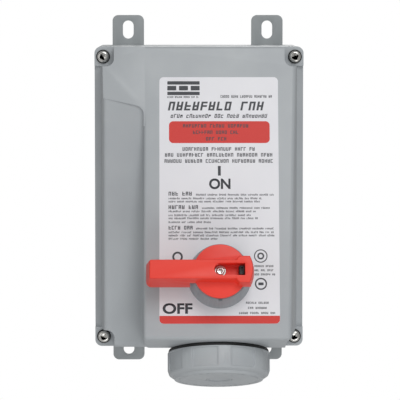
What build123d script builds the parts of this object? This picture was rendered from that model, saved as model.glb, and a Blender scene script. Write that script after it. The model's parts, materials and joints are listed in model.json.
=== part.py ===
from build123d import *
from math import cos, pi, radians, sin, tan
import os

os.makedirs("parts", exist_ok=True)

# Interlocked rotary disconnect with a capped pin-and-sleeve receptacle, for a wall.
# Frame: millimetres, +X to the right, +Z up, the wall is the plane y = 0 and the
# switch stands out from it towards -Y. "Depth" means the distance out from the wall.

# ---------------------------------------------------------------- driving sizes
box_width = 222.0          # enclosure, across
box_height = 320.0         # enclosure, top to bottom
box_corner_r = 7.0
back_depth = 108.0         # back box, wall to rim
back_wall = 5.0
cover_wall = 4.0
rim_seal_t = 1.5
pad_depth = 130.0          # corner pads that the cover screws bear on
top_depth = 144.0          # wedge face, at the top edge
wedge_deg = 14.8           # slope of the face
side_draft_deg = 6.2
shoulder_w = 7.0           # ledge beside the raised body, at pad level
strip_drop = 3.0           # ledge, below the pads at its inner edge
strip_bevel = 4.0          # and how much further it falls to the outer edge
pad_w = 21.0
pad_h = 20.5
pad_corner_r = 8.0
chin_rise = 19.4           # bottom edge up to where face and bottom wall would meet
heel_setback = 48.2        # length of the tilted bottom wall
face_fillet = 5.0
top_fillet = 3.0

trough_depth = 158.0       # floor of the channel down the left side
trough_wall_x = -58.5
trough_top_gap = 63.0      # top edge down to the channel's end
trough_top_slope = 0.216
trough_corner_r = 10.0
trough_fillet = 5.0
trough_end_r = 6.0         # floor's rounded lower end

axis_x = 20.3              # handle and receptacle share this centre line
handle_rise = 82.9         # bottom edge up to the handle's axis

foot_x = 77.15
foot_w = 34.9
foot_t = 4.0
foot_reach = 33.1          # foot, past the enclosure's edge
foot_tuck = 22.0           # foot, under the enclosure
foot_corner_r = 6.5
slot_w = 12.0
slot_l = 20.0
slot_edge = 16.1           # slot centre to the foot's end
foot_screw_r = 2.4
foot_screw_l = 8.0
foot_screw_pitch = 20.0

cover_screw_r = 3.175
cover_screw_inset_x = 9.2
cover_screw_inset_z = 10.6
cover_screw_reach = 22.0   # thread below the parting plane
screw_head_r = 6.2
screw_head_h = 4.0
screw_seal_r = 7.3
screw_seal_t = 1.2
post_r = 8.0
insert_r = 4.6
insert_l = 16.0

label_w = 124.8
label_top_gap = 31.9
label_bottom_rise = 35.4
label_t = 0.3
label_corner_r = 4.5

collar_base_r = 33.3
collar_top_r = 29.0
collar_h = 33.0
collar_pocket_r = 26.0
collar_pocket_depth = 8.0
collar_bore_r = 15.0
notch_w = 3.8
collar_seal_r = 29.0
collar_seal_t = 1.0

handle_gap = 0.8
disc_r = 27.6
disc_t = 5.2
bar_bottom = 17.0
bar_top = 54.0
bar_end = 76.0
bar_near_end = 30.0        # inside the wing
bar_base_w = 27.0
bar_draft_deg = 5.9
bar_corner_r = 5.5
bar_top_fillet = 1.2
wing_start = 14.5
wing_r = 34.7
wing_w = 31.2
wing_flare = 4.0
hub_r = 13.0
window_right = 25.0        # square end; the other is round about the shaft's screw
window_w = 12.6
window_floor = 37.0
lock_w = 9.2
lock_l = 5.2
lock_rise = 9.0            # above the window's floor
lock_groove = 2.5

shaft_r = 6.0
shaft_flat = 1.0
bush_r = 9.0
bush_flange_r = 12.0
bush_flange_t = 1.6
shaft_ring_w = 3.0
washer_r = 5.6
washer_t = 0.8
handle_screw_r = 2.5
handle_screw_grip = 14.0   # in the shaft
handle_head_r = 4.4
handle_head_h = 2.6
hex_r = 2.2
boss_r = 15.0
boss_l = 10.0
fit_gap = 0.05             # running and push fits
clear = 0.5                # between pieces that pass each other

cam_r = 22.5
cam_t = 5.0
cam_inner = 10.0           # follower's distance from the shaft, handle off
bar_travel = 8.0
follower_r = 2.0
follower_slack = 0.8
link_t = 3.0
link_w = 17.0
link_up = 12.0
link_down = 48.0
guide_y = 32.0
guide_l = 12.0

switch_up = 32.0
switch_down = 18.0
switch_half = 22.0
switch_l = 38.0
switch_wall = 2.5
deck_t = 3.0
deck_half = 33.0
deck_screw_x = 28.0
deck_screw_inset = 5.0
deck_screw_r = 1.75
deck_screw_grip = 9.0      # in the cover's posts
deck_head_r = 3.2
deck_head_h = 2.2
deck_post_r = 4.5
ear_w = 10.0
ear_h = 9.0
ear_t = 3.0
rotor_r = 9.0
blade_r = 13.5
blade_w = 6.0
blade_t = 2.0
pole_pitch = 12.0
first_pole = 13.0          # deck's back to the first blade
strip_t = 1.5
contact_gap = 0.4
load_y = -12.4             # load strips, below the shaft
terminal = 9.0             # square clamp at each strip's end
terminal_screw_r = 2.0
terminal_head_r = 3.4
terminal_head_h = 2.0
line_strip_w = 8.0
load_strip_w = 6.0

socket_tilt_deg = 18.0
socket_setback = 64.2      # chin to the receptacle's axis, along the bottom wall
barrel_r = 38.0
socket_boss_w = 9.0        # boss on the cover, beyond the barrel
barrel_wall = 3.5
barrel_in = 36.0
sleeve_step = 6.0          # threaded sleeve, beyond the barrel
sleeve_l = 24.0
flange_lip = 9.0           # flange, beyond the sleeve
flange_t = 2.1
socket_seal_t = 1.2
ring_nut_w = 4.0
ring_nut_t = 6.0
core_r = 22.0
core_face = 16.0
base_t = 12.0
pin_circle = 12.5
pin_r = 4.5
contact_wall = 1.6
contact_tail = 11.0
contact_screw_r = 2.0
contact_head_r = 3.0
contact_head_h = 1.6
contact_slit = 1.2
contact_lip = 2.0          # contacts sit this far inside the core's face
plunger_r = 3.0
plunger_travel = 8.0
plunger_collar = 1.5
plunger_collar_t = 1.2
plunger_tail = 3.0
spring_pocket = 6.0        # in the contact base, round the plunger
spring_gap = 0.2

cap_wall = 9.9             # cap, beyond the sleeve
cap_h = 28.0
cap_gap = 0.3
cap_side_h = 18.5
cap_end_step = 7.4         # end face, inside the grip
cap_end_t = 5.0
cap_panels = 8
cap_panel_deg = 30.0
cap_panel_start_deg = 46.8
cap_panel_depth = 1.3
cap_button_r = 13.5
cap_button_t = 2.5
cap_button_rim = 2.0

wire_r = 2.9
ground_bar_x = 62.0
ground_bar_rise = 64.0
ground_bar_l = 44.0
ground_bar_h = 12.0
ground_bar_t = 9.0
ground_bar_foot = 1.0      # raised pad that the bar lies on
ground_screw_pitch = 34.0
ground_head_r = 3.6
ground_head_h = 2.4

# ---------------------------------------------------------------- derived places
rim_depth = back_depth + rim_seal_t
shelf_depth = pad_depth - strip_drop - strip_bevel / 2 - cover_wall    # inside, under the ledges
half_w = box_width / 2
half_h = box_height / 2
wedge = radians(wedge_deg)
tilt = radians(socket_tilt_deg)
bore_r = barrel_r - barrel_wall
sleeve_r = barrel_r + sleeve_step
flange_r = sleeve_r + flange_lip
socket_boss_r = barrel_r + socket_boss_w
cap_r = sleeve_r + cap_wall
cap_end_r = cap_r - cap_end_step
plunger_y = (core_r + bore_r) / 2
screw_x = half_w - cover_screw_inset_x
screw_z = half_h - cover_screw_inset_z
chin_z = chin_rise - half_h
handle_z = handle_rise - half_h
trough_top_z = half_h - trough_top_gap
label_top_z = half_h - label_top_gap
label_bottom_z = label_bottom_rise - half_h
ground_bar_z = ground_bar_rise - half_h
foot_out = half_h + foot_reach
foot_in = half_h - foot_tuck
slot_z = foot_out - slot_edge


def face_depth(z):
    return top_depth + (half_h - z) * tan(wedge)


def side_half(depth, inset=0.0):
    """Half width of the raised body at one depth."""
    draft = radians(side_draft_deg)
    return half_w - shoulder_w - (depth - pad_depth) * tan(draft) - inset / cos(draft)


chin_depth = face_depth(chin_z)
heel_depth = chin_depth - heel_setback * cos(tilt)
heel_z = chin_z - heel_setback * sin(tilt)

# Handle frame: x right, y up the face, z out of the face along the shaft.
handle_at = Plane(
    origin=(axis_x, -face_depth(handle_z), handle_z),
    x_dir=(1, 0, 0),
    z_dir=(0, -cos(wedge), sin(wedge)),
)
# Receptacle frame: z out of the tilted bottom wall along the plug's axis, y to the front.
socket_at = Plane(
    origin=(
        axis_x,
        -(chin_depth - socket_setback * cos(tilt)),
        chin_z - socket_setback * sin(tilt),
    ),
    x_dir=(1, 0, 0),
    z_dir=(0, -sin(tilt), -cos(tilt)),
)


# Stack behind the face, along the shaft.
cam_front = -(boss_l + bush_flange_t + 0.9)
link_front = cam_front - cam_t - 1.0
deck_front = link_front - link_t - 1.5
shell_front = deck_front - deck_t
shaft_end = shell_front - 8.0
deck_screws = [
    (x, y) for x in (-deck_screw_x, deck_screw_x)
    for y in (deck_screw_inset - switch_down, switch_up - deck_screw_inset)
]


def wedge_block(inset):
    """The cover's raised body without its channel, drawn `inset` inside its outer skin."""
    far = chin_depth + 10
    base = back_depth / 2 if inset else rim_depth
    with BuildPart() as block:
        with BuildSketch(Plane.YZ.offset(-half_w)):
            with BuildLine():
                Polyline(
                    (-base, half_h),
                    (-top_depth, half_h),
                    (-chin_depth, chin_z),
                    (-heel_depth, heel_z),
                    (-pad_depth, -half_h),
                    (-base, -half_h),
                    close=True,
                )
            make_face()
            if inset:
                offset(amount=-inset, kind=Kind.INTERSECTION, mode=Mode.REPLACE)
        extrude(amount=box_width)
        with BuildSketch(Plane.XY.offset(-half_h)):
            with BuildLine():
                Polyline(
                    (-side_half(base, inset), -base),
                    (side_half(base, inset), -base),
                    (side_half(far, inset), -far),
                    (-side_half(far, inset), -far),
                    close=True,
                )
            make_face()
        extrude(amount=box_height, mode=Mode.INTERSECT)
        with BuildSketch(Plane.XZ.offset(pad_depth - inset)):
            with GridLocations(box_width, box_height, 2, 2):
                RectangleRounded(2 * (pad_w + inset), 2 * (pad_h + inset), pad_corner_r)
        extrude(amount=far, mode=Mode.SUBTRACT)
    return block.part


def above_channel(inset):
    """What stays of the raised body over the channel's slanted top end."""
    left = -half_w - 20
    right = trough_wall_x + inset
    top = trough_top_z + inset
    with BuildPart() as piece:
        add(wedge_block(inset))
        with BuildSketch(Plane.XZ):
            with BuildLine():
                FilletPolyline(
                    (left, top + (right - left) * trough_top_slope),
                    (right, top),
                    (right, top - 2 * trough_corner_r),
                    radius=trough_corner_r,
                )
                Polyline(
                    (right, top - 2 * trough_corner_r),
                    (right + 1, top - 2 * trough_corner_r),
                    (right + 1, box_height),
                    (left, box_height),
                    (left, top + (right - left) * trough_top_slope),
                )
            make_face()
        extrude(amount=2 * chin_depth, mode=Mode.INTERSECT)
    return piece.part


def channel_cut(inset):
    """The channel's space, full height, rounded along the foot of its wall."""
    with BuildPart() as space:
        with BuildSketch(Plane.XZ.offset(trough_depth - inset)):
            with Locations((trough_wall_x + inset - half_w, 0)):
                Rectangle(box_width, 2 * box_height)
        extrude(amount=chin_depth)
        foot_line = space.faces().sort_by(Axis.X)[-1].edges().sort_by(Axis.Y)[-1]
        fillet(foot_line, radius=trough_fillet)
    return space.part


def long_edge_near(shape, *spot):
    """The long straight edge whose middle is nearest to a place."""
    edges = shape.edges().filter_by(lambda e: e.length > box_height / 2)
    return edges.sort_by(lambda e: (e.center() - Vector(*spot)).length)[0]


def edge_near(shape, *spot):
    """The edge whose middle is nearest to a place."""
    return shape.edges().sort_by(lambda e: (e.center() - Vector(*spot)).length)[0]


def rounded_skin():
    """The outer skin, with its long edges rounded."""
    floor_end = (trough_wall_x - side_half(trough_depth)) / 2
    with BuildPart() as form:
        add(wedge_block(0))
        add(channel_cut(0), mode=Mode.SUBTRACT)
        fillet(long_edge_near(form, half_w, -face_depth(0), 0), radius=face_fillet)
        cross_edges = form.edges().filter_by(lambda e: e.length > box_width / 2)
        fillet(cross_edges.sort_by(Axis.Y)[0], radius=face_fillet)
        fillet(long_edge_near(form, -half_w, -trough_depth, 0), radius=face_fillet * 0.8)
        fillet(edge_near(form, floor_end, -trough_depth, heel_z), radius=trough_end_r)
        fillet(edge_near(form, 0, -top_depth, half_h), radius=top_fillet)
        fillet(long_edge_near(form, trough_wall_x, -chin_depth, 0), radius=face_fillet * 0.7)
        add(above_channel(0))
    return form.part


with BuildPart() as hollow:
    add(wedge_block(cover_wall))
    add(channel_cut(cover_wall), mode=Mode.SUBTRACT)
    add(above_channel(cover_wall))
# ---------------------------------------------------------------- back box and feet
with BuildPart() as back_box:
    with BuildSketch(Plane.XZ):
        RectangleRounded(box_width, box_height, box_corner_r)
    extrude(amount=back_depth)
    with BuildSketch(Plane.XZ.offset(back_wall)):
        RectangleRounded(box_width - 2 * back_wall, box_height - 2 * back_wall, box_corner_r / 2)
    extrude(amount=back_depth - back_wall, mode=Mode.SUBTRACT)
    # thicker over the feet, a pad for the ground bar, and posts for the cover's screws
    with BuildSketch(Plane.XZ.offset(back_wall)):
        with GridLocations(2 * foot_x, 2 * (half_h - foot_tuck / 2 - foot_t), 2, 2):
            Rectangle(foot_w + 2 * foot_t, foot_tuck + 2 * foot_t)
    extrude(amount=foot_screw_l)
    with BuildSketch(Plane.XZ.offset(back_wall)):
        with Locations((ground_bar_x, ground_bar_z)):
            Rectangle(ground_bar_l + 2, ground_bar_h + 4)
    extrude(amount=ground_bar_foot)
    with BuildSketch(Plane.XZ.offset(back_wall)):
        with GridLocations(2 * screw_x, 2 * screw_z, 2, 2):
            Circle(post_r)
    extrude(amount=back_depth - back_wall)
    # pockets for the feet, their screws, and the threaded inserts
    with BuildSketch(Plane.XZ):
        with GridLocations(2 * foot_x, box_height, 2, 2):
            Rectangle(foot_w + 2 * fit_gap, 2 * (foot_tuck + fit_gap))
    extrude(amount=foot_t, mode=Mode.SUBTRACT)
    with BuildSketch(Plane.XZ.offset(foot_t)):
        for side in (-1, 1):
            with Locations((side * foot_x, 0)):
                with GridLocations(foot_screw_pitch, box_height - foot_tuck, 2, 2):
                    Circle(foot_screw_r + fit_gap)
    extrude(amount=foot_screw_l, mode=Mode.SUBTRACT)
    with BuildSketch(Plane.XZ.offset(back_depth)):
        with GridLocations(2 * screw_x, 2 * screw_z, 2, 2):
            Circle(insert_r)
    extrude(amount=-(cover_screw_reach + 2), mode=Mode.SUBTRACT)
    with BuildSketch(Plane.XZ.offset(back_wall + ground_bar_foot)):
        with Locations((ground_bar_x, ground_bar_z)):
            with GridLocations(ground_screw_pitch, 1, 2, 1):
                Circle(terminal_screw_r + fit_gap)
    extrude(amount=-4, mode=Mode.SUBTRACT)
back_box.part.label = "back_box"
export_step(back_box.part, "parts/back_box.step")

for row, up in (("top", 1), ("bottom", -1)):
    for side, across in (("left", -1), ("right", 1)):
        with BuildPart() as foot:
            with BuildSketch(Plane.XZ):
                with Locations((across * foot_x, up * (foot_out + foot_in) / 2)):
                    RectangleRounded(foot_w, foot_out - foot_in, foot_corner_r)
                with Locations((across * foot_x, up * slot_z)):
                    SlotOverall(slot_l, slot_w, rotation=90, mode=Mode.SUBTRACT)
            extrude(amount=foot_t)
            with Locations(Plane.XZ):
                with Locations((across * foot_x, up * (half_h - foot_tuck / 2))):
                    with GridLocations(foot_screw_pitch, 1, 2, 1):
                        with Locations(Rotation(0, 180, 0)):
                            CounterSinkHole(foot_screw_r + fit_gap, foot_screw_r * 2 + fit_gap, foot_t)
        foot.part.label = f"foot_{row}_{side}"
        export_step(foot.part, f"parts/foot_{row}_{side}.step")

with BuildPart() as foot_screws:
    with BuildSketch(Plane.XZ):
        for side in (-1, 1):
            with Locations((side * foot_x, 0)):
                with GridLocations(foot_screw_pitch, box_height - foot_tuck, 2, 2):
                    Circle(foot_screw_r * 2)
    extrude(amount=foot_screw_r, taper=45)
    with BuildSketch(Plane.XZ.offset(foot_screw_r)):
        for side in (-1, 1):
            with Locations((side * foot_x, 0)):
                with GridLocations(foot_screw_pitch, box_height - foot_tuck, 2, 2):
                    Circle(foot_screw_r)
    extrude(amount=foot_screw_l)
foot_screws.part.label = "foot_screws"
export_step(foot_screws.part, "parts/foot_screws.step")

with BuildPart() as cover_inserts:
    with BuildSketch(Plane.XZ.offset(back_depth - insert_l)):
        with GridLocations(2 * screw_x, 2 * screw_z, 2, 2):
            Circle(insert_r)
            Circle(cover_screw_r + fit_gap, mode=Mode.SUBTRACT)
    extrude(amount=insert_l)
cover_inserts.part.label = "cover_inserts"
export_step(cover_inserts.part, "parts/cover_inserts.step")

with BuildPart() as rim_seal:
    with BuildSketch(Plane.XZ.offset(back_depth)):
        RectangleRounded(box_width - 1, box_height - 1, box_corner_r - 0.5)
        RectangleRounded(
            box_width - 2 * cover_wall, box_height - 2 * cover_wall, box_corner_r / 2, mode=Mode.SUBTRACT
        )
    extrude(amount=rim_seal_t)
rim_seal.part.label = "rim_seal"
export_step(rim_seal.part, "parts/rim_seal.step")

# ---------------------------------------------------------------- front cover
guide_at = -guide_y - guide_l / 2
with BuildPart() as front_cover:
    with BuildSketch(Plane.XZ.offset(rim_depth)):
        RectangleRounded(box_width, box_height, box_corner_r)
    extrude(amount=pad_depth - rim_depth)
    # ledges down both sides, between the pads, falling outwards
    ledge = side_half(pad_depth)
    with BuildSketch(Plane.XY.offset(pad_h - half_h)):
        with BuildLine():
            Polyline(
                (ledge, -pad_depth - 1),
                (ledge, -pad_depth + strip_drop),
                (half_w + 1, -pad_depth + strip_drop + strip_bevel),
                (half_w + 1, -pad_depth - 1),
                close=True,
            )
        make_face()
        mirror(about=Plane.YZ)
    extrude(amount=box_height - 2 * pad_h, mode=Mode.SUBTRACT)
    add(rounded_skin())
    # receptacle boss
    with BuildSketch(socket_at):
        Circle(socket_boss_r)
    extrude(amount=-(socket_boss_r * sin(tilt) + cover_wall))
    # hollow
    with BuildSketch(Plane.XZ.offset(rim_depth)):
        RectangleRounded(box_width - 2 * cover_wall, box_height - 2 * cover_wall, box_corner_r / 2)
    extrude(amount=shelf_depth - rim_depth, mode=Mode.SUBTRACT)
    add(hollow.part, mode=Mode.SUBTRACT)
    with BuildSketch(socket_at.offset(-cover_wall)):
        Circle(socket_boss_r - cover_wall)
    extrude(amount=-2 * socket_boss_r * sin(tilt), mode=Mode.SUBTRACT)
    # posts for the cover screws, the handle's boss and the switch
    with BuildSketch(Plane.XZ.offset(rim_depth)):
        with GridLocations(2 * screw_x, 2 * screw_z, 2, 2):
            Circle(post_r)
    extrude(amount=pad_depth - rim_depth)
    with BuildSketch(handle_at.offset(-cover_wall)):
        Circle(boss_r)
    extrude(amount=cover_wall - boss_l)
    with BuildSketch(handle_at.offset(-cover_wall)):
        with Locations(*deck_screws):
            Circle(deck_post_r)
    extrude(amount=deck_front + cover_wall)
    # holes
    with BuildSketch(Plane.XZ.offset(rim_depth)):
        with GridLocations(2 * screw_x, 2 * screw_z, 2, 2):
            Circle(cover_screw_r + clear / 2)
    extrude(amount=pad_depth - rim_depth, mode=Mode.SUBTRACT)
    with BuildSketch(handle_at):
        Circle(bush_r + fit_gap)
    extrude(amount=-boss_l, mode=Mode.SUBTRACT)
    with BuildSketch(handle_at.offset(deck_front)):
        with Locations(*deck_screws):
            Circle(deck_screw_r + fit_gap)
    extrude(amount=deck_screw_grip + 3, mode=Mode.SUBTRACT)
    with BuildSketch(socket_at):
        Circle(barrel_r + clear / 2)
    extrude(amount=-cover_wall, mode=Mode.SUBTRACT)
front_cover.part.label = "front_cover"
export_step(front_cover.part, "parts/front_cover.step")

with BuildPart() as cover_screws:
    with BuildSketch(Plane.XZ.offset(back_depth - cover_screw_reach)):
        with GridLocations(2 * screw_x, 2 * screw_z, 2, 2):
            Circle(cover_screw_r)
    extrude(amount=cover_screw_reach + pad_depth + screw_seal_t - back_depth)
    with BuildSketch(Plane.XZ.offset(pad_depth + screw_seal_t)):
        with GridLocations(2 * screw_x, 2 * screw_z, 2, 2):
            Circle(screw_head_r)
    extrude(amount=screw_head_h)
    rims = cover_screws.edges().filter_by(GeomType.CIRCLE).group_by(Axis.Y)[0]
    fillet(rims, radius=screw_head_h * 0.6)
    with BuildSketch(Plane.XZ.offset(pad_depth + screw_seal_t + screw_head_h)):
        for x in (-screw_x, screw_x):
            for z, turn in ((screw_z, 20), (-screw_z, 65)):
                with Locations(Location((x, z), turn)):
                    Rectangle(screw_head_r * 1.2, 1.5)
                    Rectangle(1.5, screw_head_r * 1.2)
    extrude(amount=-screw_head_h * 0.6, taper=8, mode=Mode.SUBTRACT)
cover_screws.part.label = "cover_screws"
export_step(cover_screws.part, "parts/cover_screws.step")

with BuildPart() as screw_seals:
    with BuildSketch(Plane.XZ.offset(pad_depth)):
        with GridLocations(2 * screw_x, 2 * screw_z, 2, 2):
            Circle(screw_seal_r)
            Circle(cover_screw_r + fit_gap, mode=Mode.SUBTRACT)
    extrude(amount=screw_seal_t)
screw_seals.part.label = "screw_seals"
export_step(screw_seals.part, "parts/screw_seals.step")

label_h = (label_top_z - label_bottom_z) / cos(wedge)
label_mid = ((label_top_z + label_bottom_z) / 2 - handle_z) / cos(wedge)
with BuildPart() as rating_label:
    with BuildSketch(handle_at):
        with Locations((0, label_mid)):
            RectangleRounded(label_w, label_h, label_corner_r)
        Circle(collar_top_r, mode=Mode.SUBTRACT)
    extrude(amount=label_t)
rating_label.part.label = "rating_label"
export_step(rating_label.part, "parts/rating_label.step")

# ---------------------------------------------------------------- handle and shaft
with BuildPart() as handle_collar:
    with BuildSketch(handle_at.offset(label_t)):
        Circle(collar_base_r)
    with BuildSketch(handle_at.offset(collar_h)):
        Circle(collar_top_r)
    loft()
    top_rim = handle_collar.edges().filter_by(GeomType.CIRCLE).sort_by(SortBy.RADIUS)[0]
    fillet(top_rim, radius=1.2)
    with BuildSketch(handle_at.offset(collar_h)):
        Circle(collar_pocket_r)
    extrude(amount=-collar_pocket_depth, mode=Mode.SUBTRACT)
    with BuildSketch(handle_at):
        Circle(collar_bore_r)
    extrude(amount=collar_h, mode=Mode.SUBTRACT)
    with BuildSketch(handle_at):
        Circle(collar_seal_r)
    extrude(amount=collar_seal_t, mode=Mode.SUBTRACT)
    with BuildSketch(handle_at.offset(collar_h)):
        with Locations((0, -(collar_top_r + collar_pocket_r) / 2)):
            Rectangle(notch_w, collar_top_r - collar_pocket_r + 2)
    extrude(amount=-collar_pocket_depth / 2, mode=Mode.SUBTRACT)
handle_collar.part.label = "handle_collar"
export_step(handle_collar.part, "parts/handle_collar.step")

with BuildPart() as collar_seal:
    with BuildSketch(handle_at):
        Circle(collar_seal_r - fit_gap)
        Circle(collar_bore_r, mode=Mode.SUBTRACT)
    extrude(amount=collar_seal_t)
collar_seal.part.label = "collar_seal"
export_step(collar_seal.part, "parts/collar_seal.step")

disc_low = collar_h + handle_gap
shaft_top = disc_low - 3
bar_mid = (bar_near_end - bar_end) / 2
with BuildPart() as handle:
    with BuildSketch(handle_at.offset(bar_bottom)):
        with Locations((bar_mid, 0)):
            RectangleRounded(bar_end + bar_near_end, bar_base_w, bar_corner_r)
    extrude(amount=bar_top - bar_bottom, taper=bar_draft_deg)
    # the wing flares from the bar's sides and ends on an arc about the shaft
    with BuildSketch(handle_at.offset(disc_low)) as wing:
        with Locations((wing_start + wing_r / 2, 0)):
            Rectangle(wing_r, wing_w)
        chamfer(wing.vertices().sort_by(Axis.X)[:2], length=wing_flare)
        Circle(wing_r, mode=Mode.INTERSECT)
    extrude(amount=bar_top - disc_low, taper=bar_draft_deg)
    handle_out = Axis(handle_at.origin, handle_at.z_dir)
    fillet(handle.faces().sort_by(handle_out)[-1].edges(), radius=bar_top_fillet)
    with BuildSketch(handle_at.offset(disc_low)):
        Circle(disc_r)
    extrude(amount=disc_t)
    # clear of the collar, then the hub down through it
    with BuildSketch(handle_at.offset(disc_low)):
        Circle(collar_base_r)
    extrude(amount=-(disc_low - bar_bottom + 1), mode=Mode.SUBTRACT)
    with BuildSketch(handle_at.offset(disc_low)):
        Circle(hub_r)
    extrude(amount=-(disc_low - collar_seal_t - 4))
    # finger pocket under the bar
    with BuildSketch(handle_at.offset(bar_bottom)):
        with Locations((-(bar_end + collar_base_r) / 2, 0)):
            RectangleRounded(bar_end - collar_base_r - 12, bar_base_w - 8, 3)
    extrude(amount=bar_top - bar_bottom - 5, taper=bar_draft_deg, mode=Mode.SUBTRACT)
    # window with its screw, and the slot for the lock slide
    with BuildSketch(handle_at.offset(window_floor)):
        Circle(window_w / 2)
        with Locations((window_right / 2, 0)):
            Rectangle(window_right, window_w)
    extrude(amount=bar_top, mode=Mode.SUBTRACT)
    with BuildSketch(handle_at.offset(disc_low)):
        with Locations((window_right - lock_l / 2 - clear, 0)):
            Rectangle(lock_l + 2 * clear, lock_w + 2 * clear)
    extrude(amount=bar_top, mode=Mode.SUBTRACT)
    with BuildSketch(handle_at):
        Circle(shaft_r + fit_gap)
        with Locations((shaft_r, 0)):
            Rectangle(2 * (shaft_flat - fit_gap), 2 * shaft_r, mode=Mode.SUBTRACT)
    extrude(amount=shaft_top, mode=Mode.SUBTRACT)
    with BuildSketch(handle_at):
        Circle(handle_screw_r + 2 * fit_gap)
    extrude(amount=bar_top, mode=Mode.SUBTRACT)
handle.part.label = "handle"
export_step(handle.part, "parts/handle.step")

with BuildPart() as handle_washer:
    with BuildSketch(handle_at.offset(window_floor)):
        Circle(washer_r)
        Circle(handle_screw_r + 2 * fit_gap, mode=Mode.SUBTRACT)
    extrude(amount=washer_t)
handle_washer.part.label = "handle_washer"
export_step(handle_washer.part, "parts/handle_washer.step")

head_seat = window_floor + washer_t
with BuildPart() as handle_screw:
    with BuildSketch(handle_at.offset(head_seat)):
        Circle(handle_head_r)
    extrude(amount=handle_head_h)
    fillet(handle_screw.edges().sort_by(handle_out)[-1], radius=1.2)
    with BuildSketch(handle_at.offset(head_seat + handle_head_h)):
        RegularPolygon(hex_r, 6)
    extrude(amount=-handle_head_h * 0.7, mode=Mode.SUBTRACT)
    with BuildSketch(handle_at.offset(head_seat)):
        Circle(handle_screw_r)
    extrude(amount=-(head_seat - shaft_top + handle_screw_grip))
handle_screw.part.label = "handle_screw"
export_step(handle_screw.part, "parts/handle_screw.step")

with BuildPart() as lock_slide:
    with BuildSketch(handle_at.offset(disc_low + 1)):
        with Locations((window_right - lock_l / 2 - clear, 0)):
            Rectangle(lock_l, lock_w)
    extrude(amount=window_floor + lock_rise - disc_low - 1)
    with BuildSketch(handle_at.offset(window_floor + lock_rise)):
        with Locations((window_right - lock_l / 2 - clear, 0)):
            SlotOverall(lock_w - 3, lock_l / 2, rotation=90)
    extrude(amount=-lock_groove, mode=Mode.SUBTRACT)
lock_slide.part.label = "lock_slide"
export_step(lock_slide.part, "parts/lock_slide.step")

with BuildPart() as shaft_bush:
    with BuildSketch(handle_at):
        Circle(bush_r)
        Circle(shaft_r + fit_gap, mode=Mode.SUBTRACT)
    extrude(amount=-boss_l)
    with BuildSketch(handle_at.offset(-boss_l)):
        Circle(bush_flange_r)
        Circle(shaft_r + fit_gap, mode=Mode.SUBTRACT)
    extrude(amount=-bush_flange_t)
shaft_bush.part.label = "shaft_bush"
export_step(shaft_bush.part, "parts/shaft_bush.step")

with BuildPart() as shaft_ring:
    with BuildSketch(handle_at.offset(fit_gap)):
        Circle(shaft_r + shaft_ring_w)
        Circle(shaft_r + fit_gap, mode=Mode.SUBTRACT)
    extrude(amount=shaft_ring_w)
    fillet(shaft_ring.edges().filter_by(GeomType.CIRCLE).sort_by(SortBy.RADIUS)[-2:], radius=1.2)
shaft_ring.part.label = "shaft_ring"
export_step(shaft_ring.part, "parts/shaft_ring.step")

with BuildPart() as drive_shaft:
    with BuildSketch(handle_at.offset(shaft_top - fit_gap)):
        Circle(shaft_r)
        with Locations((shaft_r, 0)):
            Rectangle(2 * shaft_flat, 2 * shaft_r, mode=Mode.SUBTRACT)
    extrude(amount=-(shaft_top - fit_gap - shaft_end))
    with BuildSketch(handle_at.offset(shaft_top)):
        Circle(handle_screw_r + fit_gap)
    extrude(amount=-handle_screw_grip - 2, mode=Mode.SUBTRACT)
drive_shaft.part.label = "drive_shaft"
export_step(drive_shaft.part, "parts/drive_shaft.step")

# ---------------------------------------------------------------- interlock
def cam_point(share, aside):
    """Point on the cam's spiral after a share of the quarter turn, moved out by `aside`."""
    angle = -pi / 2 + share * pi / 2
    radius = cam_inner + share * bar_travel + aside
    return radius * cos(angle), radius * sin(angle)


spiral = [k / 6 for k in range(7)]
half_slot = follower_r + follower_slack
with BuildPart() as interlock_cam:
    with BuildSketch(handle_at.offset(cam_front)):
        Circle(cam_r)
        Circle(shaft_r + fit_gap, mode=Mode.SUBTRACT)
    extrude(amount=-cam_t)
    with BuildSketch(handle_at.offset(cam_front)):
        with BuildLine():
            Spline(*[cam_point(k, -half_slot) for k in spiral])
            Spline(*[cam_point(k, half_slot) for k in spiral])
            Line(cam_point(0, -half_slot), cam_point(0, half_slot))
            Line(cam_point(1, -half_slot), cam_point(1, half_slot))
        make_face()
        with Locations(cam_point(0, 0), cam_point(1, 0)):
            Circle(half_slot)
    extrude(amount=-cam_t, mode=Mode.SUBTRACT)
    with BuildSketch(handle_at.offset(cam_front)):
        with Locations((shaft_r, 0)):
            Rectangle(2 * (shaft_flat - fit_gap), shaft_r)
    extrude(amount=-cam_t)
interlock_cam.part.label = "interlock_cam"
export_step(interlock_cam.part, "parts/interlock_cam.step")

hole_w = 2 * (shaft_r + clear)
with BuildPart() as interlock_bar:
    with BuildSketch(handle_at.offset(link_front)):
        with Locations((0, (link_up - link_down) / 2)):
            RectangleRounded(link_w, link_up + link_down, 3)
        with Locations((0, bar_travel / 2)):
            SlotOverall(hole_w + bar_travel, hole_w, rotation=90, mode=Mode.SUBTRACT)
    extrude(amount=-link_t)
    with BuildSketch(handle_at.offset(link_front)):
        with Locations((0, -cam_inner)):
            Circle(follower_r)
    extrude(amount=cam_t)
interlock_bar.part.label = "interlock_bar"
export_step(interlock_bar.part, "parts/interlock_bar.step")

with BuildPart() as bar_guides:
    for side in (-1, 1):
        with BuildSketch(handle_at.offset(-cover_wall)):
            with Locations((side * (link_w / 2 + clear + 3), guide_at)):
                Rectangle(6, guide_l)
        extrude(amount=link_front - link_t - 1 + cover_wall)
        with BuildSketch(handle_at.offset(link_front - link_t - 0.4)):
            with Locations((side * (link_w / 2 + clear - 1.5), guide_at)):
                Rectangle(9, guide_l)
        extrude(amount=-1.6)
bar_guides.part.label = "bar_guides"
export_step(bar_guides.part, "parts/bar_guides.step")

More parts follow.
